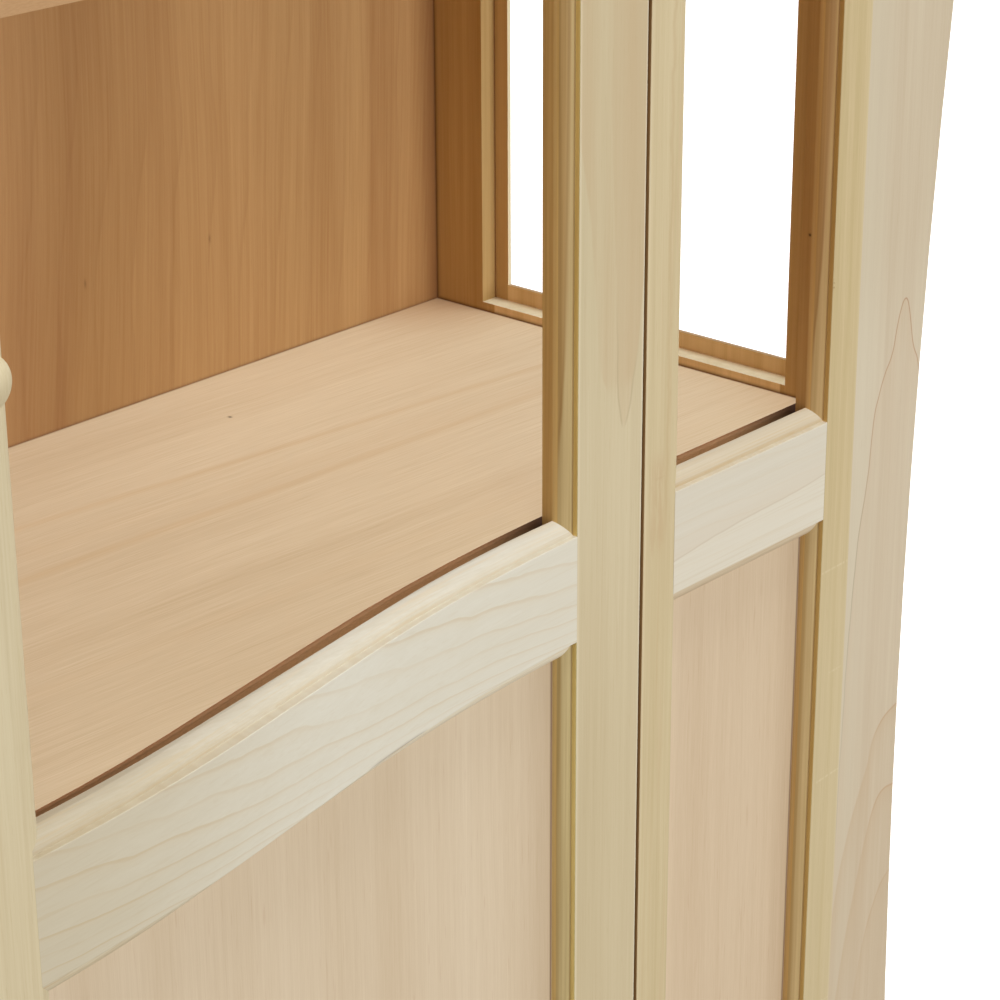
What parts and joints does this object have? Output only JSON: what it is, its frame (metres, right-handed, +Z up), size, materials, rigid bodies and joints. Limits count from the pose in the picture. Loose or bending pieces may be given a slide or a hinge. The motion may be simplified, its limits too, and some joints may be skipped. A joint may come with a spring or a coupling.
{
  "type": "mizuya kitchen cabinet",
  "caption": "Wide kitchen cabinet with a swelling front, tall frame-and-panel doors open above and panelled below a waist deck, and hollow-edged end posts.",
  "frame": {"origin": "on the floor, under the middle of the cabinet's bounding box", "axes": "+X to the cabinet's right as seen from the front, +Y to the back, +Z up"},
  "size_m": [1.9452, 0.464, 1.8],
  "materials": {
    "pale_poplar": "bare planed poplar, pale heartwood-free, matt",
    "yellow_poplar": "bare planed poplar, yellow-green tint, matt",
    "poplar": "bare planed poplar, straight vertical grain, matt",
    "cream_poplar": "bare planed poplar, cream with wavy growth lines, matt",
    "brown_poplar": "bare planed poplar, browner stock, matt",
    "carcass_poplar": "bare planed poplar, matt",
    "deck_veneer": "bare veneered board, fine straight grain along the width, matt",
    "back_veneer": "bare veneered panel, vertical grain, matt",
    "panel_veneer": "bare veneered panel, fine vertical grain, matt",
    "brass": "brushed, slightly dulled",
    "steel": "zinc plated",
    "catch_plastic": "moulded, matt"
  },
  "bodies": {
    "root": {"back_panel_lower": "back_veneer", "back_panel_upper": "back_veneer", "bay_bottom_rail_left": "cream_poplar", "bay_bottom_rail_right": "cream_poplar", "bay_inner_stile_left": "poplar", "bay_inner_stile_right": "poplar", "bay_outer_stile_left": "yellow_poplar", "bay_outer_stile_right": "yellow_poplar", "bay_panel_left": "panel_veneer", "bay_panel_right": "panel_veneer", "bay_top_rail_left": "cream_poplar", "bay_top_rail_right": "cream_poplar", "bay_waist_rail_left": "cream_poplar", "bay_waist_rail_right": "cream_poplar", "bottom_board": "carcass_poplar", "deck": "deck_veneer", "end_post_left": "pale_poplar", "end_post_right": "pale_poplar", "frame_hinge_leaves": "brass", "hinge_pins": "brass", "magnet_catches": "catch_plastic", "plinth_back": "carcass_poplar", "plinth_front": "carcass_poplar", "plinth_side_left": "carcass_poplar", "plinth_side_right": "carcass_poplar", "shelf_lower": "deck_veneer", "shelf_pins": "steel", "shelf_upper": "deck_veneer", "side_bottom_rail_left": "brown_poplar", "side_bottom_rail_right": "brown_poplar", "side_front_stile_left": "brown_poplar", "side_front_stile_right": "brown_poplar", "side_panel_left": "panel_veneer", "side_panel_right": "panel_veneer", "side_rear_stile_left": "brown_poplar", "side_rear_stile_right": "brown_poplar", "side_sill_rail_left": "brown_poplar", "side_sill_rail_right": "brown_poplar", "side_top_rail_left": "brown_poplar", "side_top_rail_right": "brown_poplar", "top_board": "carcass_poplar"},
    "door_right": {"door_bottom_rail_right": "cream_poplar", "door_hinge_leaves_right": "brass", "door_hinge_stile_right": "poplar", "door_knob_right": "poplar", "door_meeting_stile_right": "poplar", "door_panel_right": "panel_veneer", "door_top_rail_right": "cream_poplar", "door_waist_rail_right": "cream_poplar", "strike_plates_right": "steel"},
    "door_left": {"door_bottom_rail_left": "cream_poplar", "door_hinge_leaves_left": "brass", "door_hinge_stile_left": "poplar", "door_knob_left": "poplar", "door_meeting_stile_left": "poplar", "door_panel_left": "panel_veneer", "door_top_rail_left": "cream_poplar", "door_waist_rail_left": "cream_poplar", "strike_plates_left": "steel"}
  },
  "joints": [
    {"name": "door_right_hinge", "type": "hinge", "parent": "root", "child": "door_right", "pos_m": [0.60135, -0.1459, 0.9], "axis": [0, 0, 1], "range_deg": [0, 165]},
    {"name": "door_left_hinge", "type": "hinge", "parent": "root", "child": "door_left", "pos_m": [-0.60135, -0.1459, 0.9], "axis": [0, 0, -1], "range_deg": [0, 165]}
  ]
}
